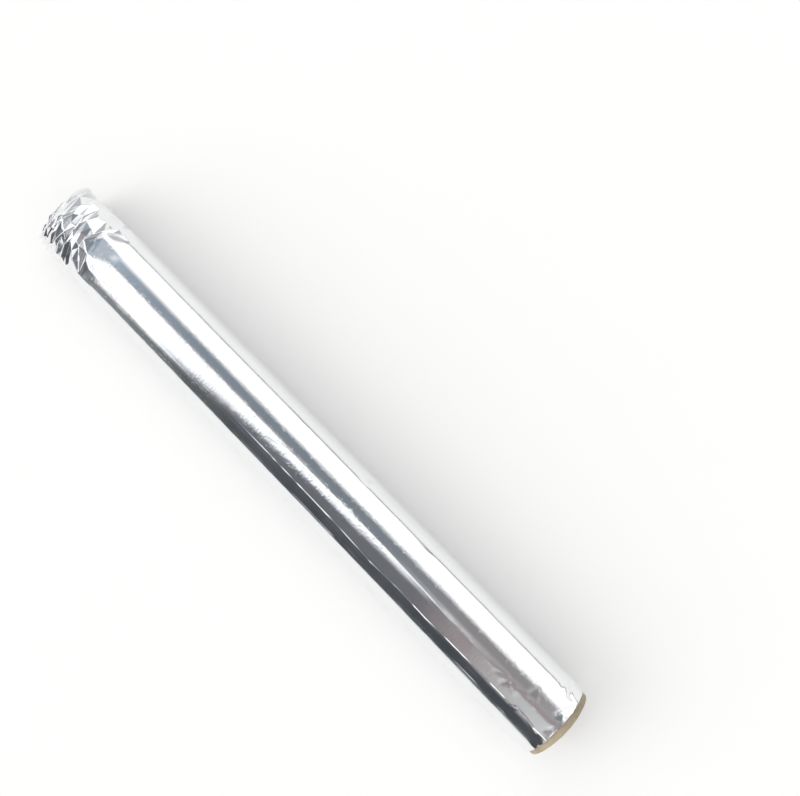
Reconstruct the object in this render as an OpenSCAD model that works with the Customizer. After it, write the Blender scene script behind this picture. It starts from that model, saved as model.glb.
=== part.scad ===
/* [Core] */
// Length of the cardboard core, which is also the width of the foil sheet
core_len = 300; // [150:1:450]
// Outer diameter of the cardboard core
core_od = 32.4; // [24:0.1:80]
// Wall thickness of the cardboard core
core_wall = 1.4; // [0.8:0.1:4]
// Length of bare core at the open end
core_showing = 3; // [0.5:0.5:12]
// Slack between the core and the first turn of foil
wind_gap = 0.02; // [0.01:0.01:0.1]

/* [Wound foil] */
// Thickness of the wound turns on the core
foil_build = 1.3; // [1:0.1:12]
// Height of the step where the free edge of the sheet lies on the turn below
edge_step = 0.15; // [0.05:0.05:0.4]
// Place of the free edge around the roll, in degrees from the top
edge_angle = -25; // [-60:5:0]
// Width of the flat spot that the roll rests on
flat_w = 6; // [2:1:10]
// Ledges that the turns make on the open end of the wind
turn_ledges = 5; // [2:1:8]
// How far each second ledge stands back
ledge_depth = 0.4; // [0.1:0.1:1]

/* [Crushed end] */
// How far the outer turns have slid past the inner ones
slip = 15; // [9:1:30]
// Length of the creased foil over the core
creased_len = 21; // [9:1:60]
// Thickness of the inner turns that stay round below the creases
round_turns = 0.4; // [0.2:0.1:0.6]
// Depth of the folds past the inner turns
fold_depth = 1.9; // [0.2:0.1:2.4]
// Depth of the pleats on the tucked end
end_fold = 1.4; // [0.2:0.1:1.6]
// Thickness of the crushed turns past the inner turns
crush_wall = 0.8; // [0.4:0.1:1.2]
// How far the top of the slipped turns is pushed down
crush_drop = 8; // [0:0.5:10]
// How far the crushed end is tucked in at its middle
tuck = 5; // [0:0.5:5.5]
// Facets around the crushed end
fold_count = 32; // [16:2:40]
// Spacing of the rows of facets
row_pitch = 2.3; // [2:0.1:5]
// Which chance pattern the folds take
fold_seed = 7; // [1:1:99]

/* [Hidden] */
$fn = 144;
// How far a cutting shape runs past what it cuts
cut_over = 1;

core_r = core_od / 2;
seat_r = core_r + wind_gap;
foil_r = seat_r + foil_build;

// The last turn is two half turns whose centres lie half a step apart, so it ends in the step
under_r = foil_r - edge_step / 2;
under_shift = edge_step / 2;
flat_depth = under_r - sqrt(under_r * under_r - flat_w * flat_w / 4);
axis_h = under_r + under_shift * cos(edge_angle) - flat_depth;

// Places along the roll, whose middle is at zero
overall_len = core_showing + core_len + slip;
core_end_x = overall_len / 2;
foil_edge_x = core_end_x - core_showing;
inner_end_x = foil_edge_x - core_len;
crease_x = inner_end_x + creased_len;
tip_x = inner_end_x - slip;

// The skin of the crushed end starts inside the smooth turns and comes out just below them
skin_below = 0.05;
skin_buried = 1.2;
skin_r = foil_r - edge_step - skin_below;
skin_start_x = crease_x + skin_buried;
// The creases stay this far off the floor, and the skin's inside this far inside the core's seat
floor_gap = 0.3;
seat_bite = 0.3;
skin_floor = floor_gap - axis_h;
shallow_fold = min(fold_depth, foil_build - edge_step - round_turns - skin_below);

// Rows of corners: over the core, past the inner turns, then inwards over the tucked end
least_rows = 3;
rows_over = max(least_rows, floor(creased_len / row_pitch));
rows_past = max(least_rows, floor(slip / row_pitch));
pitch_over = creased_len / rows_over;
pitch_past = slip / (rows_past + 0.5);
cap_scale = [0.9, 0.72, 0.48, 0.24];
rim_row = rows_over + rows_past + 1;
last_row = rim_row + len(cap_scale) - 1;
facet_turn = 360 / fold_count;

// Chance moves a corner by this share of the spacing of corners, each way
stray = 0.25;
// The first row past the inner turns is still held round by them, and the sag starts behind it
sag_x = inner_end_x - (0.5 + stray) * pitch_past;
// The share of the sag at the height of the tucked end's middle
middle_sag = 0.35;
chances = rands(-1, 1, (last_row + 1) * fold_count * 3, fold_seed);

// A chance value from -1 to 1 for one corner of the folds: kind 0 is along, 1 around, 2 in and out
function chance(row, j, kind) = chances[(row * fold_count + j % fold_count) * 3 + kind];

function is_over(row) = row <= rows_over;
function is_cap(row) = row >= rim_row;
function cap_share(row) = is_cap(row) ? cap_scale[row - rim_row] : 1;

// How far the tucked end goes in at one of its rows, more towards the middle
function cap_in(row) = tuck * pow(1 - cap_share(row) / cap_scale[0], 0.8);

function corner_x(row, j) =
    row == 0 ? skin_start_x
    : is_over(row) ? crease_x + (0.5 - row + stray * chance(row, j, 0)) * pitch_over
    : row < rim_row ? inner_end_x + (rows_over + 0.5 - row + stray * chance(row, j, 0)) * pitch_past
    : row == rim_row ? tip_x + (j == 0 ? 0 : stray * abs(chance(row, j, 0)) * pitch_past)
    : tip_x + cap_in(row) + end_fold * abs(chance(row, j, 0));

function corner_angle(row, j) = (j + (row % 2) / 2 + stray * chance(row, j, 1)) * facet_turn;

// How deep a corner lies below the skin; the creases start faintly beside the smooth turns
function fold_in(row, j) =
    row == 0 || is_cap(row) ? 0
    : (row > rows_over + 1 ? fold_depth : shallow_fold * min(1, (row + 2) / rows_over))
        * (1 + chance(row, j, 2)) / 2;

// The slipped turns sag towards the tip: all of the drop at the top, none at the floor
function drop_at(x, angle) =
    crush_drop * max(0, (sag_x - x) / (sag_x - tip_x)) * pow((1 + cos(angle)) / 2, 1.5);

// One corner of the crushed end, on its outside or on its inside
function corner(row, j, inside) =
    let (
        x = corner_x(row, j),
        angle = corner_angle(row, j),
        outer_r = skin_r - fold_in(row, j),
        inner_r = is_over(row) ? core_r - seat_bite : outer_r - crush_wall,
        r = (inside ? inner_r : outer_r) * cap_share(row),
        wall_in = inside ? crush_wall : 0,
        z = r * cos(angle) - drop_at(x, angle)
    )
    [x + (is_cap(row) ? wall_in : 0), r * sin(angle), max(z, skin_floor + wall_in)];

function skin_points(inside) = [
    for (row = [0:last_row], j = [0:fold_count - 1]) corner(row, j, inside),
    [tip_x + tuck + (inside ? crush_wall : 0), 0, -crush_drop * middle_sag],
];

skin_len = (last_row + 1) * fold_count + 1;
function at(skin, row, j) = skin * skin_len + row * fold_count + j % fold_count;

// Two facets between a row and the next, whose corners lie half a facet further round
function facet_pair(skin, row, j) =
    row % 2 == 0
    ? [
        [at(skin, row, j), at(skin, row + 1, j), at(skin, row, j + 1)],
        [at(skin, row + 1, j), at(skin, row + 1, j + 1), at(skin, row, j + 1)],
    ]
    : [
        [at(skin, row, j), at(skin, row + 1, j), at(skin, row + 1, j + 1)],
        [at(skin, row, j), at(skin, row + 1, j + 1), at(skin, row, j + 1)],
    ];

function skin_facets(skin) = [
    for (row = [0:last_row - 1], j = [0:fold_count - 1]) each facet_pair(skin, row, j),
    for (j = [0:fold_count - 1])
        [at(skin, last_row, j), (skin + 1) * skin_len - 1, at(skin, last_row, j + 1)],
];

function turned_over(facets) = [for (f = facets) [f[2], f[1], f[0]]];

// The facets that join the outside to the inside at the mouth
mouth_facets = [
    for (j = [0:fold_count - 1])
        each [
            [at(0, 0, j), at(1, 0, j + 1), at(1, 0, j)],
            [at(0, 0, j), at(0, 0, j + 1), at(1, 0, j + 1)],
        ]
];

// A rod along the roll between two places, about the roll's axis
module rod(r, from_x, to_x) {
    translate([from_x, 0, 0])
        rotate([0, 90, 0])
            cylinder(r = r, h = to_x - from_x);
}

// One half of the last turn, on one side of the plane through the roll's axis and the free edge
module half_turn(r, shift, side) {
    reach = 2 * foil_r;
    rotate([-edge_angle, 0, 0])
        intersection() {
            translate([0, 0, -shift])
                rod(r, crease_x, foil_edge_x);
            translate([crease_x - cut_over, side > 0 ? 0 : -reach, -reach])
                cube([foil_edge_x - crease_x + 2 * cut_over, reach, 2 * reach]);
        }
}

// The smooth turns, which end in the step of the free edge
module smooth_turns() {
    half_turn(foil_r, 0, 1);
    half_turn(under_r, under_shift, -1);
}

// The outer turns past the smooth ones: creased over the core, then crushed and tucked in
module crushed_turns() {
    polyhedron(
        points = concat(skin_points(false), skin_points(true)),
        faces = concat(skin_facets(0), turned_over(skin_facets(1)), mouth_facets)
    );
}

// The grooves between the ledges of the turns, on the open end
module ledge_grooves() {
    ledge_w = foil_build / turn_ledges;
    for (i = [1:2:turn_ledges - 1])
        difference() {
            rod(foil_r - i * ledge_w, foil_edge_x - ledge_depth, foil_edge_x + cut_over);
            rod(foil_r - (i + 1) * ledge_w, foil_edge_x - ledge_depth - cut_over, foil_edge_x + 2 * cut_over);
        }
}

module core_tube() {
    color([0.68, 0.59, 0.45])
        translate([0, 0, axis_h])
            difference() {
                rod(core_r, core_end_x - core_len, core_end_x);
                rod(core_r - core_wall, core_end_x - core_len - cut_over, core_end_x + cut_over);
            }
}

module foil_roll() {
    color([0.84, 0.85, 0.87])
        translate([0, 0, axis_h])
            difference() {
                union() {
                    smooth_turns();
                    crushed_turns();
                }
                rod(seat_r, inner_end_x, foil_edge_x + cut_over);
                ledge_grooves();
                translate([tip_x, -foil_r, -axis_h - foil_r])
                    cube([overall_len, 2 * foil_r, foil_r]);
            }
}

core_tube();
foil_roll();
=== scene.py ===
"""The looks of the aluminium foil roll: wound foil, crushed end, cardboard core and a plain pale studio."""

import bpy
import numpy as np
from mathutils import Matrix, Vector
from mathutils.geometry import delaunay_2d_cdt


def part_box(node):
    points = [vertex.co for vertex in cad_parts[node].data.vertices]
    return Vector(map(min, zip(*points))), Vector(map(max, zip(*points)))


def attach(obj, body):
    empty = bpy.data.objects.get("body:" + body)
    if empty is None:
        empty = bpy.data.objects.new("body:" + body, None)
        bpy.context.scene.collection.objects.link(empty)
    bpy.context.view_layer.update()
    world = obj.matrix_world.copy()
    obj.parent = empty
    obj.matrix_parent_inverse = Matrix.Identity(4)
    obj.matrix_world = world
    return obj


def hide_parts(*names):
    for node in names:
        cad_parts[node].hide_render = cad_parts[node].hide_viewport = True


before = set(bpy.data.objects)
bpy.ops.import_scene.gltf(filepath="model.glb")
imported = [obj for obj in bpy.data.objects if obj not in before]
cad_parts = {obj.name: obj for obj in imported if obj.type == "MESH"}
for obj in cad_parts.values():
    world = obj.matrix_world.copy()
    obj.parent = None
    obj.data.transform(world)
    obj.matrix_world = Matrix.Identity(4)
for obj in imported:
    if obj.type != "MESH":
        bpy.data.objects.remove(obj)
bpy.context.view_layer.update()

# Every length below is in millimetres, and becomes metres where a mesh is made
MM = 0.001
foil_low, foil_high = [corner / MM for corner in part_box("foil_roll")]
core_low, core_high = [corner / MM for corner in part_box("core_tube")]

AXIS_H = (core_low.z + core_high.z) / 2
CORE_R = (core_high.z - core_low.z) / 2
CORE_WALL = 1.4
# Slack between the core and the first turn
WIND_GAP = 0.02
SEAT_R = CORE_R + WIND_GAP
# The foil that shows stays this far inside the top and the -Y side of the room that it has
TOP_MARGIN = 0.02
SIDE_MARGIN = 0.03
FOIL_R = foil_high.z - AXIS_H - TOP_MARGIN
GIRTH = 2 * np.pi * FOIL_R
EDGE_X = foil_high.x
TIP_X = foil_low.x
# How far the outer turns have slid past the inner ones
SLIP = 15
INNER_END_X = TIP_X + SLIP

# The last turn winds inwards by this much in one turn, so its free edge stands proud of the turn below
EDGE_STEP = 0.12
# How far the top of the slipped turns is pushed down, where that begins, and its share at the tucked middle
CRUSH_DROP = 8
SAG_FROM_X = INNER_END_X - 1.7
MIDDLE_SAG = 0.4
# The outside of the creased and crushed foil before its folds, and how far it stays off the floor
CRUSHED_R = FOIL_R - 0.1
CRUSHED_LOWEST = 0.04


def ease(value, start, end):
    """Goes smoothly from 0 at start to 1 at end."""
    share = np.clip((value - start) / (end - start), 0, 1)
    return share * share * (3 - 2 * share)


def hills(u, v, seed):
    """Smooth chance hills from -1 to 1, about one for each unit both ways."""
    size = 512
    table = np.random.default_rng(seed).uniform(-1, 1, (size, size))
    col, row = np.floor(u).astype(int), np.floor(v).astype(int)
    fu, fv = ease(u - col, 0, 1), ease(v - row, 0, 1)
    col, next_col = col % size, (col + 1) % size
    row, next_row = row % size, (row + 1) % size
    near = table[col, row] * (1 - fu) + table[next_col, row] * fu
    far = table[col, next_row] * (1 - fu) + table[next_col, next_row] * fu
    return near * (1 - fv) + far * fv


def to_space(x, angle, r):
    """A place on the roll, with its angle in degrees from the top towards +Y, as x, y, z."""
    turn = np.radians(angle)
    return np.stack(np.broadcast_arrays(x, r * np.sin(turn), AXIS_H + r * np.cos(turn)), axis=-1)


def off_line(x, s, points):
    """The distance of each place to a line of points on the unrolled foil."""
    nearest = np.full(x.shape, np.inf)
    for (x0, s0), (x1, s1) in zip(points, points[1:]):
        run_x, run_s = x1 - x0, s1 - s0
        along = np.clip(((x - x0) * run_x + (s - s0) * run_s) / (run_x ** 2 + run_s ** 2), 0, 1)
        nearest = np.minimum(nearest, np.hypot(x - x0 - along * run_x, s - s0 - along * run_s))
    return nearest


def unrolled(points):
    """Places given as (x, angle) on the unrolled foil, in millimetres both ways."""
    return [(x, np.radians(angle) * FOIL_R) for x, angle in points]


# The free edge of the sheet, as x and angle
FREE_EDGE = [
    (-135, -24), (-100, -24.5), (-50, -24), (0, -23.8), (22, -24), (39, -24.5), (58, -27), (73, -24.8),
    (89, -25.9), (100, -24.6), (126, -23.2), (157, -23),
]
# Where the smooth turns end and the creases begin, as angle and x
CREASE_LINE = [
    (-180, -127), (-110, -129), (-62, -124), (-48.7, -121), (-26.4, -118.5), (-20.4, -123), (-11.6, -124.6),
    (-6.8, -122.2), (19.6, -118.2), (22, -124.7), (29, -127.6), (49.8, -121.9), (77.4, -126.9), (120, -133),
    (180, -127),
]
# Just before the creases the round foil goes over into flats between these angles
FLATS = [-180, -150, -125, -100, -75, -48.7, -26.4, -11.6, 19.6, 49.8, 77.4, 105, 130, 155, 180]
# The flats begin this far from the creases
FLATS_LEN = 8
# The facets begin within the smooth foil at this x, lying on it until they pass the crease line
FACETS_FROM = -114


def between(value, points):
    """Reads a line of given points at these values."""
    return np.interp(value, [p[0] for p in points], [p[1] for p in points])


# The last turn is slack on the side of its free edge: it stands out below this angle and in above it
BULGE_ANGLE = -44.5
BULGE_HEIGHT = 0.13
BULGE_TURN = 7
BULGE_REACH = 28


def turn_radius(x, angle):
    """The radius of the last turn, which winds inwards from its free edge and bulges a little below it."""
    # The bulge lies 2 degrees further down towards the open end
    above = angle - BULGE_ANGLE + 2 * ease(x, 40, 110)
    bulge = -BULGE_HEIGHT * np.tanh(above / BULGE_TURN) * np.exp(-((above / BULGE_REACH) ** 2))
    return FOIL_R - EDGE_STEP * np.mod(angle - between(x, FREE_EDGE), 360) / 360 + bulge


def column_places():
    """How far round from the free edge each column of the foil lies, close together beside the edge."""
    after_edge = [0, 0.12, 0.25, 0.4, 0.55, 0.7, 0.9, 1.2]
    before_edge = GIRTH - np.array([1.9, 1.5, 1.15, 0.8, 0.55, 0.35, 0.17, 0.04])
    fine, coarse = 0.5, 0.9
    top = np.arange(1.6, 38, fine)
    underside = np.arange(38, GIRTH - 22, coarse)
    side = np.arange(GIRTH - 22, GIRTH - 2, fine)
    return np.concatenate([after_edge, top, underside, side, before_edge])


# Lines that stand a little proud of the foil: points as (x, angle), half width and height
RIDGES = [
    ([(84, -26.4), (94, -29), (104, -30), (113, -33), (129, -35), (135, -34.6)], 0.35, 0.08),
    ([(-90, -30), (-40, -30), (-14, -31), (20, -31.5), (60, -33), (84, -33)], 0.4, 0.06),
    ([(-80, -34), (-30, -35), (19, -36.5), (51, -37), (90, -38), (138, -39)], 0.35, 0.055),
    ([(-100, -38), (-60, -38.5), (-10, -39.5), (40, -40.5)], 0.35, 0.045),
    ([(44, 2.5), (60, 2.2), (70, 0.8), (79, 0), (85, -0.8), (93, -2.4), (96, -2.9), (100, -1.4)], 0.4, 0.16),
    ([(100, -2.5), (107, -3.7), (113, -3.4), (119, -4.4)], 0.6, 0.06),
    ([(-10, -5.9), (-1, -1.3), (10, 0.6), (30, 1.5)], 0.4, 0.06),
    ([(20, 61), (50, 63), (95, 61.4), (104, 62), (115, 60), (128, 60.7), (136, 64), (148, 64.7)], 0.5, -0.14),
    ([(60, 57), (84, 58.5), (110, 57), (131, 57.5)], 0.4, 0.08),
    ([(-99.3, 2.5), (-98.4, 3.4)], 0.5, 0.2),
    ([(136.5, -27), (139, -21), (142.5, -20.2), (148, -22.3), (151.3, -25.1)], 0.45, 0.24),
]


# Small dents of the smooth foil: middle x, middle angle, lean from round the roll in radians, half width,
# half length and height
DENTS = [
    (128.6, -7, 0.5, 1.4, 2.8, -0.1), (131, -3, -0.6, 1.2, 3.0, 0.09), (125, -4, 1.2, 1.2, 3.2, -0.08),
    (134, -6, 0.2, 1.1, 2.4, 0.08), (139, 9, 0.3, 1.5, 4.0, -0.1), (142, 4, -0.5, 1.2, 3.4, 0.08),
    (150.5, 54, -0.25, 1.7, 5.2, -0.6), (147, 42, 0.4, 1.2, 3.5, 0.25), (152, 18, 0.3, 1.2, 3.0, -0.25),
    (154, 12, -0.4, 1.0, 2.4, 0.18), (153, -10, 0.6, 1.2, 2.8, -0.1), (33, 60, 0.2, 1.6, 4.0, -0.6),
    (35, 56, 1.1, 1.0, 3.0, 0.3), (30, 58, -0.5, 0.9, 3.2, 0.3), (-42, -22.5, 0.6, 0.4, 0.9, 0.09),
    (-32, -40, 0.3, 0.4, 1.0, 0.09), (-23, 1.5, 0.7, 0.4, 1.0, 0.1), (37, 5.8, 0.5, 0.4, 1.0, 0.1),
    (104, 30, 1.45, 0.8, 9.0, -0.05), (60, 38, 1.5, 0.9, 14.0, 0.05),
]
# Soft unevenness of the smooth foil: height, length along the roll, length round it, and the chance pattern
WAVES = [(0.02, 14, 12, 1), (0.012, 60, 1.7, 5), (0.006, 3.7, 3.1, 2)]
# The foil is crumpled a little beside the open end, more between these two places
CRUMPLE_HEIGHT = 0.2
CRUMPLE_FROM_X = 150
CRUMPLE_FULL_X = 156
# The lip along the free edge: its height and its waver, the height of its frayed barbs, its width, and
# where it rises
LIP_HEIGHT = 0.25
LIP_WAVER = 0.06
BARB_HEIGHT = 0.2
LIP_WIDTH = 0.28
LIP_FROM_X = -30
LIP_FULL_X = 10


def dent_lift(x, s):
    """How far the small dents lift or sink each place of the smooth foil."""
    lift = np.zeros(x.shape)
    for middle_x, angle, lean, half_width, half_length, height in DENTS:
        off_x, off_s = x - middle_x, s - np.radians(angle) * FOIL_R
        near = (np.abs(off_x) < half_length + 1) & (np.abs(off_s) < half_length + 1)
        across = off_x[near] * np.cos(lean) - off_s[near] * np.sin(lean)
        along = off_x[near] * np.sin(lean) + off_s[near] * np.cos(lean)
        lift[near] += height * roof(across, along, half_width, half_length)
    return lift


def smooth_foil_lift(x, angle):
    """How far each place of the smooth foil stands off its even turn."""
    s = np.radians(angle) * FOIL_R
    lift = np.zeros(x.shape)
    for height, along, around, seed in WAVES:
        lift = lift + height * hills(x / along, s / around, seed)
    crumple = CRUMPLE_HEIGHT * hills(x / 2.1, s / 2.4, 6) * ease(x, CRUMPLE_FROM_X, CRUMPLE_FULL_X)
    lift = lift + dent_lift(x, s) + crumple
    # The ridges fade and rise again along their length
    waver = 0.3 + 1.1 * ease(hills(x / 8, s / 30, 9), -0.4, 0.5)
    for points, half_width, height in RIDGES:
        lift = lift + height * waver * np.exp(-((off_line(x, s, unrolled(points)) / half_width) ** 2))
    # A hair is added so that rounding never puts the first column a whole turn behind the edge
    from_edge = np.radians(np.mod(angle - between(x, FREE_EDGE) + 0.001, 360)) * FOIL_R
    barbs = ease(hills(x / 1.6, x * 0, 4), 0.5, 0.9)
    lip = LIP_HEIGHT + LIP_WAVER * hills(x / 6.1, x * 0, 3) + BARB_HEIGHT * barbs
    lip = lip * ease(x, LIP_FROM_X, LIP_FULL_X)
    return lift + np.maximum(0, lip * (1 - from_edge / LIP_WIDTH))


def roof(across, along, half_width, half_length):
    """A long hipped roof of flat faces, 1 high along its ridge."""
    from_side = 1 - np.abs(across) / half_width
    from_end = (half_length - np.abs(along)) / half_width
    return np.maximum(0, np.minimum(from_side, from_end))


# How far the rim of the crushed end stands back from the tip, and how full it is, as angle and value
RIM_LINE = [
    (-180, 0), (-120, 0.3), (-105, 1), (-90, 2.3), (-75, 4), (-60, 6.2), (-45, 7), (-30, 6.5), (-15, 5.8),
    (0, 5.2), (15, 4.9), (30, 4), (45, 2.7), (60, 1.7), (75, 1), (90, 0.3), (105, 0), (180, 0),
]
RIM_FULLNESS = [
    (-180, 0.9), (-120, 0.93), (-60, 0.95), (0, 0.93), (40, 0.95), (75, 0.97), (110, 0.97), (180, 0.9),
]
# The foil bends over to the rim within this length
RIM_BEND = 3.5
# The tucked end runs in from the rim over this radius, to its middle at this x
TUCKED_R = 15
TUCKED_X = TIP_X + 6.5


def flat_sides(x, angle):
    """How far the foil lies inside its round where it has gone over into flats."""
    flat = np.clip(np.searchsorted(FLATS, angle, side="right") - 1, 0, len(FLATS) - 2)
    low, high = np.take(FLATS, flat), np.take(FLATS, flat + 1)
    half, off = np.radians(high - low) / 2, np.radians(angle - (low + high) / 2)
    depth = FOIL_R * (1 - np.cos(half) / np.cos(off))
    return depth * ease(between(angle, CREASE_LINE) + FLATS_LEN - x, 0, FLATS_LEN)


def crushed_drop(x, angle):
    """How far the slipped turns sag: all of it at the top of the tip, none at the floor."""
    towards_tip = np.clip((SAG_FROM_X - x) / (SAG_FROM_X - TIP_X), 0, 1)
    return CRUSH_DROP * towards_tip * ((1 + np.cos(np.radians(angle))) / 2) ** 1.5


def crushed_place(way, angle, depth):
    """A place on the crushed end; its way from the rim is negative over the tucked end."""
    rim_x = TIP_X + between(angle, RIM_LINE)
    full = between(angle, RIM_FULLNESS)
    share = np.clip(1 + way / TUCKED_R, 0, 1)
    on_side = way >= 0
    x = np.where(on_side, rim_x + way, rim_x * share + TUCKED_X * (1 - share) + depth)
    side_r = CRUSHED_R * (1 - (1 - full) * ease(way, RIM_BEND, 0)) - depth
    r = np.where(on_side, side_r, CRUSHED_R * full * share)
    tucked_sag = crushed_drop(rim_x, angle) * share + CRUSH_DROP * MIDDLE_SAG * (1 - share)
    sag = np.where(on_side, crushed_drop(x, angle), tucked_sag)
    return lowered(to_space(x, angle, r), sag, CRUSHED_LOWEST)


# Corners of the facets that show beside the crease line: x, angle and depth below the round foil
NEAR_CORNERS = [
    (-129.2, -37.3, 0.35), (-123, -20.4, 0.15), (-118.5, -26.4, 0), (-120.9, -48.6, 0),
    (-123.1, -48.8, 0.1), (-124.6, -11.6, 0), (-124.7, 22, 0.2), (-125.9, 7.3, 0.75), (-122.2, -6.8, 0.34),
    (-118.2, 19.6, 0), (-134.6, -10, 0.5), (-133.2, 2.8, 0), (-132, 19, 0.5), (-127.4, 15.7, 0.8),
    (-130.8, 7.1, 0.9), (-129.6, -1.2, 0.1), (-128.9, 13.9, 0.1), (-127.6, 29.2, 0), (-126.4, 13.2, 0.6),
    (-139.3, 52.4, 0.1), (-140.2, 82, 0.2), (-132.9, 40, 0.2), (-132.1, 46.8, 0.7), (-136.1, 70.7, 0.1),
    (-129.8, 77.1, 0), (-126, 55, 0.4), (-126.9, 66, 0.5), (-121.9, 49.8, 0), (-141, 20.4, 0.6),
    (-142.9, 51.4, 0), (-136.8, 44.3, 0.4), (-136.1, 22.4, 0.1), (-137.4, 12.7, 0.7), (-137.4, 5.1, 0.1),
    (-151.6, 42.5, 0.3), (-153, 67.2, 0.2), (-146.6, 61.8, 0.5), (-142.8, 46.4, 0.1), (-150, 41.4, 0.1),
    (-129.5, -14.1, 0.6), (-131.9, -11.6, 0), (-131.5, -26.3, 0.6), (-134.2, -15.3, 0.1), (-135, -50, 0.1),
    (-133, -42, 0.8), (-137, -21.8, 0.8), (-124.5, 77.4, 0), (-122, 64, 0),
]
# Where the crushed end keeps large calm faces: middle x, middle angle, half length, half width in degrees
CALM_PLACES = [(-149, 66, 10, 34), (-134, 34, 8, 14)]
# The listed corners fill the foil past this x between these angles, and chance corners keep off them
NEAR_FROM_X = -134.5
NEAR_ANGLES = (-52, 80)
NEAR_SPACING = 2.1
# Rows of chance corners: first the fine ones by the rim, up to this way, then the coarse ones
FINE_PITCH = 1.3
FINE_COUNT = 17
FINE_UP_TO = 21
COARSE_PITCH = 2.7
COARSE_COUNT = 20
COARSE_UP_TO = 47
# How deep folds go over the inner turns, and how much deeper they go past them
FOLD_OVER_TURNS = 0.95
FOLD_PAST_TURNS = 1.2
# The share of that depth that corners have in high and in low rows, as the least and how much more
HIGH_ROW_SHARE = (0.12, 0.2)
LOW_ROW_SHARE = (0.55, 0.45)
# The share of corners that are high in a low row, or the other way round
SWAPPED = 0.22
# The share of corners that calm faces lose, and the share of depth that is left to the others there
CALM_LOSS = 0.85
CALM_SHARE = 0.35
# How far chance moves corners off their column, their row and their place in a ring, in shares of the pitch
COLUMN_JITTER = 0.4
ROW_JITTER = 0.5
RING_JITTER = 0.35
# Corners right behind the rim, up to this way, and on rings of the tucked end, as share of radius and count
RIM_COUNT = 30
RIM_WAY = 0.35
TUCKED_RINGS = [(0.87, 24), (0.7, 20), (0.52, 14), (0.3, 9)]
TUCKED_FOLD = 2.4
MIDDLE_COUNT = 6
# How far the corners are repeated past the turn's seam, and how near a place counts as on a facet's edge
SEAM_OVERLAP = 14
ON_FACET = 1e-6
# Facets smaller than this are left out
LEAST_AREA = 1e-9
# The creased foil stays this far off the inner turns
OFF_TURNS = 0.08


def stretched(way):
    """The way as it counts for joining corners, stretched most by the rim, so that facets run round."""
    return between(way, [(-20, -60), (0, 0), (18, 90), (60, 206)])


def wrapped(angle):
    """The same angle between -180 and 180."""
    return (angle + 180) % 360 - 180


def is_calm(x, angle):
    """Whether a place lies on one of the large calm faces."""
    return any(np.hypot((x - cx) / cl, (angle - ca) / cw) < 1 for cx, ca, cl, cw in CALM_PLACES)


def beside_near_corner(x, angle):
    """Whether a place lies among the listed corners, or close to one."""
    if x > NEAR_FROM_X and NEAR_ANGLES[0] < angle < NEAR_ANGLES[1]:
        return True
    s = np.radians(angle) * FOIL_R
    offs = [((x - cx) * 1.4, s - np.radians(ca) * FOIL_R) for cx, ca, _ in NEAR_CORNERS]
    return any(np.hypot(off_x, off_s) < NEAR_SPACING for off_x, off_s in offs)


def side_corners(chance):
    """Chance corners in rows round the roll, high and low by turns, closer together towards the rim."""
    corners = []
    fine_rows = np.arange(FINE_PITCH, FINE_UP_TO, FINE_PITCH)
    coarse_rows = np.arange(FINE_UP_TO + 1, COARSE_UP_TO, COARSE_PITCH)
    for row, way in enumerate(np.concatenate([fine_rows, coarse_rows])):
        count, pitch = (FINE_COUNT, FINE_PITCH) if way < FINE_UP_TO else (COARSE_COUNT, COARSE_PITCH)
        for column in range(count):
            jitter = chance.uniform(-COLUMN_JITTER, COLUMN_JITTER)
            angle = wrapped(-180 + (column + (row % 2) / 2 + jitter) * 360 / count)
            own_way = way + chance.uniform(-ROW_JITTER, ROW_JITTER) * pitch
            x = TIP_X + between(angle, RIM_LINE) + own_way
            past_crease = between(angle, CREASE_LINE) - x
            deepest = FOLD_OVER_TURNS + FOLD_PAST_TURNS * float(ease(INNER_END_X - x, 1, 4))
            least, more = HIGH_ROW_SHARE if row % 2 == 0 else LOW_ROW_SHARE
            share = least + more * chance.uniform()
            if chance.uniform() < SWAPPED:
                share = 1 - share
            calm = is_calm(x, angle)
            if calm and chance.uniform() < CALM_LOSS:
                continue
            if beside_near_corner(x, angle):
                continue
            depth = 0 if past_crease < 0.5 else deepest * share * (CALM_SHARE if calm else 1)
            corners.append((own_way, angle, depth * float(ease(past_crease, 0, 3))))
    return corners


def rim_and_tucked_corners(chance):
    """Chance corners right behind the rim, then rings of them over the tucked end."""
    corners = []
    for column in range(RIM_COUNT):
        jitter = chance.uniform(-RING_JITTER, RING_JITTER)
        angle = wrapped(-180 + (column + jitter) * 360 / RIM_COUNT)
        corners.append((RIM_WAY * chance.uniform(), angle, chance.uniform()))
    for share, count in TUCKED_RINGS:
        offset = 0.5 * (count % 4 > 1)
        for column in range(count):
            jitter = chance.uniform(-RING_JITTER, RING_JITTER)
            angle = wrapped(-180 + (column + offset + jitter) * 360 / count)
            corners.append(((share - 1) * TUCKED_R, angle, chance.uniform(0, TUCKED_FOLD)))
    for column in range(MIDDLE_COUNT):
        corners.append((-TUCKED_R, -150 + column * 360 / MIDDLE_COUNT, 0.5))
    return corners


def facet_corners():
    """All corners of the facets: their place on the unrolled and stretched end, and their place in space."""
    chance = np.random.default_rng(5)
    near = [(x - TIP_X - between(angle, RIM_LINE), angle, depth) for x, angle, depth in NEAR_CORNERS]
    way, angle, depth = np.array(near + side_corners(chance) + rim_and_tucked_corners(chance)).T
    places = crushed_place(way, angle, depth)
    s = np.radians(angle) * FOIL_R
    # Corners are repeated past both ends of the turn, so that facets close over its seam
    around = np.concatenate([s, s - GIRTH, s + GIRTH])
    keep = np.abs(around) < GIRTH / 2 + SEAM_OVERLAP
    return np.stack([stretched(np.tile(way, 3)), around], axis=1)[keep], np.tile(places, (3, 1))[keep]


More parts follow.
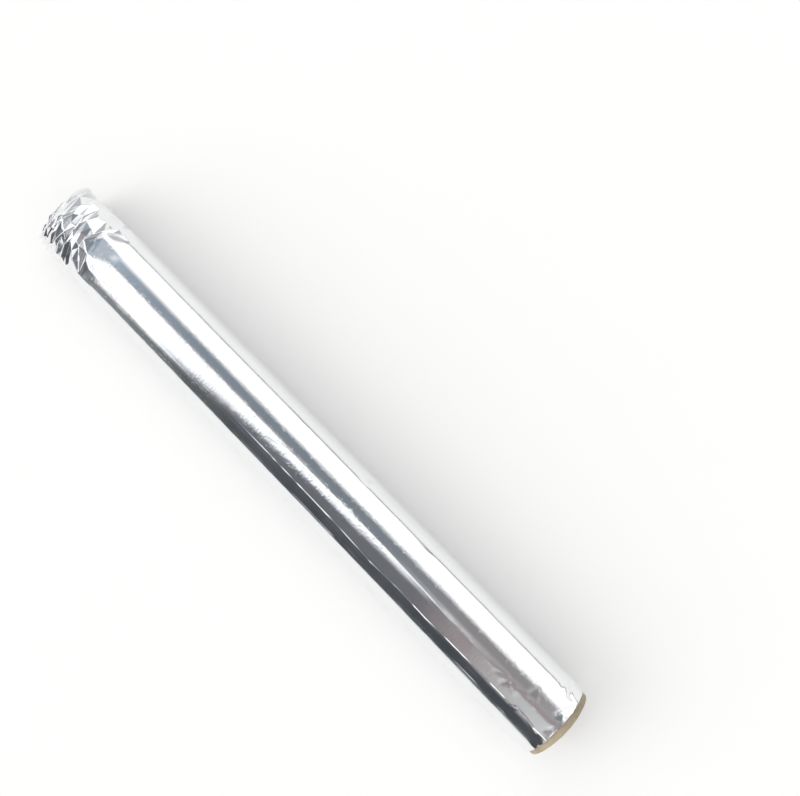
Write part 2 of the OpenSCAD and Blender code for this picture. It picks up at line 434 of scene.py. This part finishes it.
def faceted(way, angle):
    """The crushed foil as flat facets between the corners, given at these places of the fine grid."""
    flat_corners, corners = facet_corners()
    result = delaunay_2d_cdt([Vector(corner) for corner in flat_corners], [], [], 0, ON_FACET)
    origin = [chosen[0] for chosen in result[3]]
    u, s = stretched(way), np.radians(angle) * FOIL_R + way * 0
    places = np.zeros(u.shape + (3,))
    for face in result[2]:
        a, b, c = [origin[k] for k in face]
        (ua, sa), (ub, sb), (uc, sc) = flat_corners[a], flat_corners[b], flat_corners[c]
        area = (ub - ua) * (sc - sa) - (uc - ua) * (sb - sa)
        if abs(area) < LEAST_AREA:
            continue
        in_u = (u >= min(ua, ub, uc)) & (u <= max(ua, ub, uc))
        within = in_u & (s >= min(sa, sb, sc)) & (s <= max(sa, sb, sc))
        off_u, off_s = u[within] - ua, s[within] - sa
        near_b = (off_u * (sc - sa) - (uc - ua) * off_s) / area
        near_c = ((ub - ua) * off_s - off_u * (sb - sa)) / area
        near_a = 1 - near_b - near_c
        inside = (near_a > -ON_FACET) & (near_b > -ON_FACET) & (near_c > -ON_FACET)
        found = near_a[:, None] * corners[a] + near_b[:, None] * corners[b] + near_c[:, None] * corners[c]
        rows, columns = np.nonzero(within)
        places[rows[inside], columns[inside]] = found[inside]
    return places


def off_the_turns(places):
    """Keeps the creased foil outside the inner turns, as far as these reach."""
    r = np.hypot(places[..., 1], places[..., 2] - AXIS_H)
    out = np.where(places[..., 0] > INNER_END_X, np.maximum(r, SEAT_R + OFF_TURNS) / np.maximum(r, 0.1), 1)
    places = places.copy()
    places[..., 1] *= out
    places[..., 2] = AXIS_H + (places[..., 2] - AXIS_H) * out
    return places


# Rings of the smooth foil, closer together towards the open end, of the creased side and of the tucked end
SMOOTH_RINGS = 220
SMOOTH_CROWDING = 1.25
SIDE_RINGS = 196
TUCKED_GRID_RINGS = 37
TUCKED_GRID_REACH = 0.98
# Columns follow the waver of the free edge wholly up to this many degrees from it, and not past this many
FOLLOW_EDGE = (15, 60)
# The smooth foil gives way to the facets from here to here past the crease line
GIVE_WAY = (-0.3, 0.5)


def foil_grid():
    """Every ring of the foil's outside, from the open end to the crushed end's middle, with angles."""
    past_edge = np.degrees(column_places() / FOIL_R)
    even_angle = between(0, FREE_EDGE) + past_edge
    even_angle = np.where(even_angle > 180, even_angle - 360, even_angle)[None, :]
    smooth_share = np.linspace(0, 1, SMOOTH_RINGS + 1)[:-1, None] ** SMOOTH_CROWDING
    smooth_x = edge_of_foil(even_angle) * (1 - smooth_share) + FACETS_FROM * smooth_share
    rim_x = TIP_X + between(even_angle, RIM_LINE)
    side_x = FACETS_FROM + (rim_x - FACETS_FROM) * np.linspace(0, 1, SIDE_RINGS)[:, None]
    cap_way = -TUCKED_R * np.linspace(0, TUCKED_GRID_REACH, TUCKED_GRID_RINGS + 1)[1:, None]
    x = np.concatenate([smooth_x, side_x])
    near_edge = (1 - ease(np.minimum(past_edge, 360 - past_edge), *FOLLOW_EDGE))[None, :]
    angle = even_angle + (between(x, FREE_EDGE) - between(0, FREE_EDGE)) * near_edge
    cap_angle = np.repeat(angle[-1:], len(cap_way), axis=0)
    smooth = to_space(x, angle, turn_radius(x, angle) + smooth_foil_lift(x, angle) - flat_sides(x, angle))
    side_angle = angle[len(smooth_x):]
    way = np.concatenate([side_x - TIP_X - between(side_angle, RIM_LINE), cap_way + cap_angle * 0])
    # The last ring of the side is the rim itself
    way[len(side_x) - 1] = 0
    crushed_angle = np.concatenate([side_angle, cap_angle])
    crushed = faceted(way, crushed_angle)
    crushed[:len(side_x)] = off_the_turns(crushed[:len(side_x)])
    share = ease(between(side_angle, CREASE_LINE) - side_x, *GIVE_WAY)[..., None]
    crushed[:len(side_x)] = smooth[len(smooth_x):] * (1 - share) + crushed[:len(side_x)] * share
    outside = np.concatenate([smooth[:len(smooth_x)], crushed])
    lowest = np.where(np.arange(len(outside)) < len(smooth_x), 0, CRUSHED_LOWEST)[:, None]
    outside[..., 2] = np.clip(outside[..., 2], lowest, foil_high.z)
    outside[..., 1] = np.clip(outside[..., 1], foil_low.y + SIDE_MARGIN, foil_high.y)
    return outside, angle


def lowered(places, sag, lowest):
    """Lets rings of places sag, but not below this height."""
    places = places.copy()
    places[..., 2] = np.maximum(places[..., 2] - sag, lowest)
    return places


# Small tears and bends of the foil's edge at the open end: angle, half width in degrees, depth
EDGE_NICKS = [
    (-40, 3, 0.3), (-12, 3.5, 0.9), (-4, 2, 0.4), (16, 2.2, 1.3), (23, 2, 0.6), (41, 3, 0.5), (57, 4, 1.1),
    (70, 3, 0.5), (110, 6, 0.7), (150, 4, 0.5), (-90, 5, 0.8), (-130, 4, 0.4),
]
# How far the outermost turn stands back there, and its raggedness: height, width in degrees, chance pattern
EDGE_BACK = 0.25
EDGE_RAGS = [(0.15, 4.5, 11), (0.1, 1.7, 12)]
# How many edges of turns show at the open end, how far they stand back, and by how much they differ
SHOWN_TURNS = 12
TURNS_BACK = 0.2
TURNS_WAVER = 0.45
TURNS_STAGGER = 0.12


def edge_of_foil(angle):
    """Where the outermost turn ends at the open end, a little ragged."""
    x = EDGE_X - EDGE_BACK
    for height, width, seed in EDGE_RAGS:
        x = x + height * hills(angle / width, angle * 0, seed)
    for middle, half_width, depth in EDGE_NICKS:
        x = x - depth * np.exp(-(((angle - middle) / half_width) ** 2))
    return x


def end_face_rings(angle, outer_r):
    """The edges of the turns at the open end, each a narrow ledge, from the outermost to the core."""
    rings = []
    for k in range(SHOWN_TURNS):
        waver = TURNS_WAVER * (0.5 + 0.5 * hills(angle / 30, angle * 0 + k * 0.7, 21))
        x = EDGE_X - TURNS_BACK - waver - TURNS_STAGGER * (k % 2)
        if k > 0:
            rings.append((x, outer_r + (SEAT_R - outer_r) * k / SHOWN_TURNS))
        rings.append((x, outer_r + (SEAT_R - outer_r) * (k + 1) / SHOWN_TURNS))
    return rings


def closed_ring_faces(first, second, count):
    """Faces between two rings of corners that start at these numbers."""
    here = np.arange(count)
    after = np.roll(here, -1)
    return np.stack([first + here, second + here, second + after, first + after], axis=1)


# Rings of the foil's inside: along the seat on the core, then past it, as way from the rim and depth
SEAT_RING_PITCH = 6
INSIDE_RINGS = [
    (11, 2.5), (8, 2.8), (5, 3), (2.5, 3.4), (-3, 5.2), (-7, 5.2), (-11, 5.2), (-14.5, 5.2),
]
INSIDE_LOWEST = 2.2
# The edges of the turns stay this far off the floor
TURNS_LOWEST = 0.005


def foil_mesh():
    """The whole foil as one closed skin, from the crushed end's middle over the outside to the inside."""
    outside, angle = foil_grid()
    count = outside.shape[1]
    rings = list(outside[::-1])
    edge_angle = angle[0]
    edge_r = np.hypot(outside[0, :, 1], outside[0, :, 2] - AXIS_H)
    for ring_x, ring_r in end_face_rings(edge_angle, edge_r):
        rings.append(lowered(to_space(ring_x, edge_angle, ring_r), 0, TURNS_LOWEST))
    rings.append(to_space(outside[0, :, 0] - 1, edge_angle, np.full(count, SEAT_R)))
    seat_angle = angle[-1]
    for seat_x in np.arange(FACETS_FROM, INNER_END_X, -SEAT_RING_PITCH):
        rings.append(to_space(np.full(count, seat_x), seat_angle, SEAT_R))
    for way, depth in INSIDE_RINGS:
        inner = crushed_place(np.full(count, float(way)), seat_angle, np.full(count, float(depth)))
        inner[:, 2] = np.maximum(inner[:, 2], INSIDE_LOWEST)
        rings.append(inner)
    first_middle, last_middle = rings[0].mean(axis=0), rings[-1].mean(axis=0)
    places = np.concatenate(rings + [first_middle[None], last_middle[None]])
    faces = [closed_ring_faces(i * count, (i + 1) * count, count) for i in range(len(rings) - 1)]
    here, total = np.arange(count), len(rings) * count
    after = np.roll(here, -1)
    faces.append(np.stack([here, after, np.full(count, total)], axis=1))
    last = total - count
    faces.append(np.stack([last + after, last + here, np.full(count, total + 1)], axis=1))
    return places, faces


# The core's cut end: places round it, how uneven it is, its rounded edge and the paper layers that show
CORE_COUNT = 144
CUT_WAVE = 0.12
CUT_FRAY = 0.05
CUT_EDGE = 0.14
CUT_EDGE_FALL = 0.02
PAPER_LAYERS = 6


def core_mesh():
    """The cardboard tube with a cut end that is a little uneven."""
    angle = np.arange(CORE_COUNT) * 360 / CORE_COUNT - 180
    wave = CUT_WAVE * (hills(angle / 24, angle * 0, 31) - 1)
    fray = CUT_FRAY * (hills(angle / 5, angle * 0, 32) - 1)
    end = core_high.x + (wave + fray)
    start = core_low.x
    bore = CORE_R - CORE_WALL
    profile = [(start, CORE_R), (start + 100, CORE_R), (start + 200, CORE_R)]
    profile += [(end - back, CORE_R) for back in (3.2, 1.6, 0.6)]
    profile += [(end - CUT_EDGE, CORE_R - CUT_EDGE_FALL), (end, CORE_R - CUT_EDGE)]
    for k in range(1, PAPER_LAYERS):
        depth = 0.06 * (k % 2) + 0.04 * (1 + hills(angle / 9, angle * 0 + k, 33))
        profile.append((end - depth, CORE_R - CUT_EDGE - (CORE_WALL - 2 * CUT_EDGE) * k / PAPER_LAYERS))
    profile += [(end, bore + CUT_EDGE), (end - CUT_EDGE, bore + CUT_EDGE_FALL)]
    profile += [(end - 0.8, bore), (end - 60, bore), (start, bore)]
    places = [to_space(angle * 0 + x, angle, angle * 0 + r) for x, r in profile]
    rings = len(profile)
    starts = [k * CORE_COUNT for k in range(rings)]
    faces = [closed_ring_faces(starts[k], starts[(k + 1) % rings], CORE_COUNT) for k in range(rings)]
    return np.concatenate(places), faces


def add_piece(name, places, faces, sharp_degrees):
    """Makes an object of these corners and faces, smooth except over its sharp folds."""
    mesh = bpy.data.meshes.new(name)
    mesh.from_pydata((places * MM).tolist(), [], [face.tolist() for group in faces for face in group])
    mesh.validate()
    mesh.shade_smooth()
    mesh.set_sharp_from_angle(angle=np.radians(sharp_degrees))
    piece = bpy.data.objects.new(name, mesh)
    bpy.context.scene.collection.objects.link(piece)
    return piece


def new_material(name):
    """A material with its node tree, and the shader that it starts with."""
    material = bpy.data.materials.new(name)
    material.use_nodes = True
    nodes = material.node_tree.nodes
    return material, nodes, material.node_tree.links, nodes["Principled BSDF"]


def math_node(nodes, links, operation, *values):
    """A Math node with numbers or sockets put into its inputs, and its output socket given back."""
    node = nodes.new("ShaderNodeMath")
    node.operation = operation
    for socket, value in zip(node.inputs, values):
        if isinstance(value, bpy.types.NodeSocket):
            links.new(value, socket)
        else:
            socket.default_value = value
    return node.outputs[0]


def place_on_roll_group():
    """A node group that gives the place along the roll, round it, and out from its axis."""
    group = bpy.data.node_groups.new("Place on the roll", "ShaderNodeTree")
    for socket in ("Along", "Around", "Out"):
        group.interface.new_socket(name=socket, in_out="OUTPUT", socket_type="NodeSocketFloat")
    group.interface.new_socket(name="Axis height", in_out="INPUT", socket_type="NodeSocketFloat")
    nodes, links = group.nodes, group.links
    entry, end = nodes.new("NodeGroupInput"), nodes.new("NodeGroupOutput")
    split = nodes.new("ShaderNodeSeparateXYZ")
    links.new(nodes.new("ShaderNodeTexCoord").outputs["Object"], split.inputs[0])
    up = math_node(nodes, links, "SUBTRACT", split.outputs["Z"], entry.outputs["Axis height"])
    turn = math_node(nodes, links, "ARCTAN2", split.outputs["Y"], up)
    links.new(split.outputs["X"], end.inputs["Along"])
    links.new(math_node(nodes, links, "MULTIPLY", turn, FOIL_R * MM), end.inputs["Around"])
    square = math_node(nodes, links, "ADD", math_node(nodes, links, "POWER", split.outputs["Y"], 2),
                       math_node(nodes, links, "POWER", up, 2))
    links.new(math_node(nodes, links, "SQRT", square), end.inputs["Out"])
    return group


def noise_on_roll(nodes, links, place, per_mm_along, per_mm_around, detail=2.0):
    """Noise on the unrolled surface, with its own fineness along the roll and around it."""
    join = nodes.new("ShaderNodeCombineXYZ")
    ways = (("Along", per_mm_along, "X"), ("Around", per_mm_around, "Y"), ("Out", 0.4, "Z"))
    for way, per_mm, axis in ways:
        links.new(math_node(nodes, links, "MULTIPLY", place.outputs[way], per_mm / MM), join.inputs[axis])
    noise = nodes.new("ShaderNodeTexNoise")
    noise.inputs["Scale"].default_value = 1
    noise.inputs["Detail"].default_value = detail
    links.new(join.outputs[0], noise.inputs["Vector"])
    return noise.outputs["Fac"]


def spread(nodes, links, value, low, high):
    """Maps the middle half of a noise's values to low..high."""
    node = nodes.new("ShaderNodeMapRange")
    links.new(value, node.inputs["Value"])
    node.inputs["From Min"].default_value = 0.25
    node.inputs["From Max"].default_value = 0.75
    node.inputs["To Min"].default_value = low
    node.inputs["To Max"].default_value = high
    return node.outputs[0]


def tint(nodes, links, value, low, high):
    """Mixes two colours by a value."""
    node = nodes.new("ShaderNodeMix")
    node.data_type = "RGBA"
    links.new(value, node.inputs["Factor"])
    node.inputs["A"].default_value = (*low, 1)
    node.inputs["B"].default_value = (*high, 1)
    return node.outputs["Result"]


def add_bump(nodes, links, shader, height, depth):
    """Gives the shader a relief of this many millimetres."""
    bump = nodes.new("ShaderNodeBump")
    bump.inputs["Distance"].default_value = depth * MM
    links.new(height, bump.inputs["Height"])
    links.new(bump.outputs["Normal"], shader.inputs["Normal"])


def place_node(nodes, group):
    """Puts the group that gives the place on the roll into a material."""
    node = nodes.new("ShaderNodeGroup")
    node.node_tree = group
    node.inputs["Axis height"].default_value = AXIS_H * MM
    return node


# Where the sheet is brushed with fine short wrinkles: from, to and soft edge along the roll, the same round
# it, and how strongly
BRUSHED_PLACES = [
    ((-70, 150, 20), (3.6, 8.8, 1.2), 1),
    ((-55, 30, 20), (-7, -1, 2), 0.75),
    ((-122, -90, 8), (-12.5, -4.5, 2), 1),
    ((-90, -32, 8), (-12.5, -4.5, 2), 0.5),
    ((-126, 60, 8), (-1.8, 2.6, 1.2), 1),
    ((-10, 50, 15), (-4, 1, 1.5), 1),
]


def stretch_of(nodes, links, value, start, end, soft):
    """1 between two places given in millimetres, going softly to 0 outside them."""
    masks = []
    for low, high in ((start - soft, start + soft), (end + soft, end - soft)):
        step = nodes.new("ShaderNodeMapRange")
        step.interpolation_type = "SMOOTHSTEP"
        links.new(value, step.inputs["Value"])
        step.inputs["From Min"].default_value = low * MM
        step.inputs["From Max"].default_value = high * MM
        masks.append(step.outputs[0])
    return math_node(nodes, links, "MULTIPLY", *masks)


def brushed_mask(nodes, links, place):
    """How strongly each place of the foil is brushed."""
    along, around = place.outputs["Along"], place.outputs["Around"]
    brushed = []
    for x_range, s_range, strength in BRUSHED_PLACES:
        mask = math_node(nodes, links, "MULTIPLY", stretch_of(nodes, links, along, *x_range),
                         stretch_of(nodes, links, around, *s_range))
        brushed.append(math_node(nodes, links, "MULTIPLY", mask, strength))
    strongest = brushed[0]
    for mask in brushed[1:]:
        strongest = math_node(nodes, links, "MAXIMUM", strongest, mask)
    return strongest


def specks_on_roll(nodes, links, place):
    """Small raised specks, where a noise is at its highest."""
    specks = nodes.new("ShaderNodeMapRange")
    links.new(noise_on_roll(nodes, links, place, 0.7, 0.8), specks.inputs["Value"])
    specks.inputs["From Min"].default_value = 0.62
    specks.inputs["From Max"].default_value = 0.7
    return specks.outputs[0]


# The foil's two shades, its polish, its relief in millimetres, and the shares of the parts of that relief
FOIL_DARKER = (0.83, 0.84, 0.855)
FOIL_LIGHTER = (0.9, 0.905, 0.91)
FOIL_ROUGHNESS = (0.08, 0.15)
FOIL_RELIEF = 0.06
SPECKS_SHARE = 0.55
FINE_SHARE = 0.09
LEAST_WRINKLES = 0.1


def foil_material(group):
    """Bright rolled aluminium, finely uneven all over, with brushed patches of short wrinkles and specks."""
    material, nodes, links, shader = new_material("foil")
    place = place_node(nodes, group)
    fine = noise_on_roll(nodes, links, place, 1.1, 0.6)
    wrinkles = noise_on_roll(nodes, links, place, 1.1, 0.7, 3)
    patches = spread(nodes, links, noise_on_roll(nodes, links, place, 0.16, 0.25), 0.3, 1)
    cloud = noise_on_roll(nodes, links, place, 0.05, 0.05)
    brushed = math_node(nodes, links, "MULTIPLY", brushed_mask(nodes, links, place), patches)
    brushed = math_node(nodes, links, "ADD", brushed, LEAST_WRINKLES)
    specks = math_node(nodes, links, "MULTIPLY", specks_on_roll(nodes, links, place), SPECKS_SHARE)
    relief = math_node(nodes, links, "ADD", wrinkles, specks)
    height = math_node(nodes, links, "MULTIPLY", relief, brushed)
    height = math_node(nodes, links, "ADD", height, math_node(nodes, links, "MULTIPLY", fine, FINE_SHARE))
    shader.inputs["Metallic"].default_value = 1
    links.new(tint(nodes, links, cloud, FOIL_DARKER, FOIL_LIGHTER), shader.inputs["Base Color"])
    links.new(spread(nodes, links, cloud, *FOIL_ROUGHNESS), shader.inputs["Roughness"])
    add_bump(nodes, links, shader, height, FOIL_RELIEF)
    return material


# The two shades of the core's board, and of the floor
BOARD_DARKER = (0.3, 0.25, 0.17)
BOARD_LIGHTER = (0.52, 0.44, 0.32)
FLOOR_DARKER = (0.91, 0.91, 0.905)
FLOOR_LIGHTER = (0.93, 0.93, 0.925)


def cardboard_material(group):
    """Brown core board: fibres along the roll over soft patches of shade."""
    material, nodes, links, shader = new_material("core_cardboard")
    place = place_node(nodes, group)
    fibres = noise_on_roll(nodes, links, place, 2.2, 0.5, 4)
    patches = noise_on_roll(nodes, links, place, 0.12, 0.12, 3)
    blend = math_node(nodes, links, "ADD", math_node(nodes, links, "MULTIPLY", fibres, 0.5),
                      math_node(nodes, links, "MULTIPLY", patches, 0.5))
    shade = spread(nodes, links, blend, 0, 1)
    links.new(tint(nodes, links, shade, BOARD_DARKER, BOARD_LIGHTER), shader.inputs["Base Color"])
    shader.inputs["Roughness"].default_value = 0.85
    shader.inputs["Specular IOR Level"].default_value = 0.25
    add_bump(nodes, links, shader, fibres, 0.05)
    return material


def floor_material():
    """Plain matt white with the faintest unevenness."""
    material, nodes, links, shader = new_material("studio_floor")
    noise = nodes.new("ShaderNodeTexNoise")
    noise.inputs["Scale"].default_value = 30
    shade = noise.outputs["Fac"]
    links.new(tint(nodes, links, shade, FLOOR_DARKER, FLOOR_LIGHTER), shader.inputs["Base Color"])
    shader.inputs["Roughness"].default_value = 1
    shader.inputs["Specular IOR Level"].default_value = 0.1
    return material


def side_of(nodes, links, direction, normal, soft, middle=0.0):
    """A soft edge along a plane through the viewer: 1 on the side that the normal points to."""
    dot = nodes.new("ShaderNodeVectorMath")
    dot.operation = "DOT_PRODUCT"
    links.new(direction, dot.inputs[0])
    dot.inputs[1].default_value = Vector(normal).normalized()
    step = nodes.new("ShaderNodeMapRange")
    step.interpolation_type = "SMOOTHSTEP"
    links.new(dot.outputs["Value"], step.inputs["Value"])
    step.inputs["From Min"].default_value = middle - soft
    step.inputs["From Max"].default_value = middle + soft
    return step.outputs[0]


def studio_light():
    """The studio as the foil mirrors it, and the soft light that falls on everything.

    The mirrored studio has two wide windows overhead, dim walls and a dim strip of ceiling between them. It
    is laid in layers, later ones over earlier ones. Directions are given as two angles in degrees: turned,
    from straight up towards +Y, and ahead, towards +X. The light that falls on things is a plain soft dome,
    brighter on its -Y side, with one bright patch that gives the roll its soft shadow."""
    world = bpy.data.worlds.new("soft studio")
    bpy.context.scene.world = world
    world.use_nodes = True
    nodes, links = world.node_tree.nodes, world.node_tree.links
    background = nodes["Background"]
    direction = nodes.new("ShaderNodeTexCoord").outputs["Generated"]

    def way_of(ahead, turned):
        ahead, turned = np.radians(ahead), np.radians(turned)
        return Vector((np.sin(ahead), np.cos(ahead) * np.sin(turned), np.cos(ahead) * np.cos(turned)))

    def past(turned, soft):
        normal = (0, np.cos(np.radians(turned)), -np.sin(np.radians(turned)))
        return side_of(nodes, links, direction, normal, np.sin(np.radians(soft)))

    def past_slant(first, second, soft):
        normal = way_of(*first).cross(way_of(*second))
        return side_of(nodes, links, direction, normal, np.sin(np.radians(soft)))

    def ahead_of(ahead, soft):
        edge, middle = np.sin(np.radians(soft)), np.sin(np.radians(ahead))
        return side_of(nodes, links, direction, (1, 0, 0), edge, middle)

    def both(*masks):
        result = masks[0]
        for mask in masks[1:]:
            result = math_node(nodes, links, "MULTIPLY", result, mask)
        return result

    def either(first, second):
        return math_node(nodes, links, "MAXIMUM", first, second)

    def without(mask):
        return math_node(nodes, links, "SUBTRACT", 1.0, mask)

    def lay(below, colour, mask):
        node = nodes.new("ShaderNodeMix")
        node.data_type = "RGBA"
        links.new(mask, node.inputs["Factor"])
        for value, socket in ((below, node.inputs["A"]), (colour, node.inputs["B"])):
            if isinstance(value, bpy.types.NodeSocket):
                links.new(value, socket)
            else:
                socket.default_value = (*value, 1)
        return node.outputs["Result"]

    far_left = without(ahead_of(-21.5, 4))
    left = without(ahead_of(-14, 8))
    right = ahead_of(4, 6)

    low_left = lay((0.06, 0.068, 0.077), (0.21, 0.225, 0.235), far_left)
    ceiling = lay((0.135, 0.14, 0.158), (0.33, 0.285, 0.285), ahead_of(5, 2.5))
    ceiling = lay(ceiling, (0.62, 0.63, 0.64), both(ahead_of(11, 5), without(past(-14, 4))))
    light = lay(low_left, ceiling, past(-57, 6))
    steep_edge = past_slant((-20.5, -62), (-12.5, -27.5), 1.6)
    flat_edge = past_slant((-12.5, -27.5), (5, -10), 5)
    left_window = both(past(-70, 7), either(steep_edge, flat_edge))
    left_window = both(left_window, without(math_node(nodes, links, "MULTIPLY", ahead_of(5, 5), 0.93)))
    light = lay(light, (1.25, 1.28, 1.32), left_window)
    strip = lay((0.205, 0.235, 0.265), (0.24, 0.285, 0.33), left)
    strip = lay(strip, (0.37, 0.435, 0.52), without(ahead_of(-25, 3)))
    strip = lay(strip, (0.6, 0.69, 0.79), without(ahead_of(-30, 2.5)))
    strip = lay(strip, (0.285, 0.265, 0.265), right)
    strip = lay(strip, (0.44, 0.44, 0.45), ahead_of(15, 3))
    strip = lay((0.36, 0.36, 0.36), strip, past(5, 5))
    light = lay(light, strip, past(0, 2.5))
    right_window = (1.35, 1.34, 1.33)
    light = lay(light, right_window, past(33, 9))
    low_right = (0.25, 0.26, 0.27)
    light = lay(light, low_right, past(86.5, 2))

    above_wall = side_of(nodes, links, direction, (0, 0, 1), 0.1, 0.25)
    end_wall = lay((0.5, 0.52, 0.54), (1.1, 1.11, 1.12), above_wall)
    end_wall = lay(end_wall, (0.09, 0.1, 0.11), without(past(-40, 7)))
    end_wall = lay(end_wall, (0.46, 0.5, 0.56), both(past(2, 5), without(past(20, 6))))
    light = lay(light, end_wall, either(ahead_of(27, 4), without(ahead_of(-34, 4))))

    seen = nodes.new("ShaderNodeLightPath")
    bright_side = side_of(nodes, links, direction, (0, -0.7, 0.7), 0.5)
    dome = lay((0.55, 0.55, 0.548), (1.02, 1.02, 1.016), bright_side)
    bright_patch = side_of(nodes, links, direction, (-0.5, -0.75, 0.43), 0.08, 0.9)
    dome = lay(dome, (2.9, 2.9, 2.88), bright_patch)
    light = lay(dome, light, seen.outputs["Is Glossy Ray"])
    backdrop = (0.98, 0.98, 0.98)
    links.new(lay(light, backdrop, seen.outputs["Is Camera Ray"]), background.inputs["Color"])


def studio_floor():
    """A wide round pale floor just under the roll."""
    count = 64
    turn = np.arange(count) * 2 * np.pi / count
    radius, height = 4000, -0.02
    places = [[0, 0, height]] + [[radius * np.cos(t), radius * np.sin(t), height] for t in turn]
    faces = [np.array([[0, 1 + j, 1 + (j + 1) % count] for j in range(count)])]
    floor = add_piece("floor", np.array(places), faces, 180)
    floor.data.materials.append(floor_material())


def photo_camera():
    """The camera over the roll, looking nearly straight down with the roll across the picture's diagonal."""
    camera = bpy.data.objects.new("camera", bpy.data.cameras.new("camera"))
    bpy.context.scene.collection.objects.link(camera)
    place = Vector((62.24, 26.48, 365.68)) * MM
    right = Vector((0.7036, 0.7091, -0.0462)).normalized()
    down = Vector((0.6984, -0.7021, -0.1388)).normalized()
    ahead = right.cross(down).normalized()
    down = ahead.cross(right)
    rows = [[right[i], -down[i], -ahead[i], place[i]] for i in range(3)] + [[0, 0, 0, 1]]
    camera.matrix_world = Matrix(rows)
    camera.data.lens = 36
    camera.data.sensor_width = 36
    camera.data.clip_start = 0.01
    bpy.context.scene.camera = camera


# Edges that bend more than this many degrees are sharp, on the foil and on the core
FOIL_SHARP = 25
CORE_SHARP = 35


def wound_foil(group):
    """The foil with its crushed end, in place of its plain solid."""
    places, faces = foil_mesh()
    foil = add_piece("wound_foil", places, faces, FOIL_SHARP)
    foil.data.materials.append(foil_material(group))
    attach(foil, "root")
    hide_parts("foil_roll")


def cardboard_core(group):
    """The core, in place of its plain solid."""
    places, faces = core_mesh()
    core = add_piece("cardboard_core", places, faces, CORE_SHARP)
    core.data.materials.append(cardboard_material(group))
    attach(core, "root")
    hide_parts("core_tube")


bpy.context.scene.view_settings.view_transform = "Standard"
photo_camera()
studio_light()
studio_floor()
place_group = place_on_roll_group()
wound_foil(place_group)
cardboard_core(place_group)
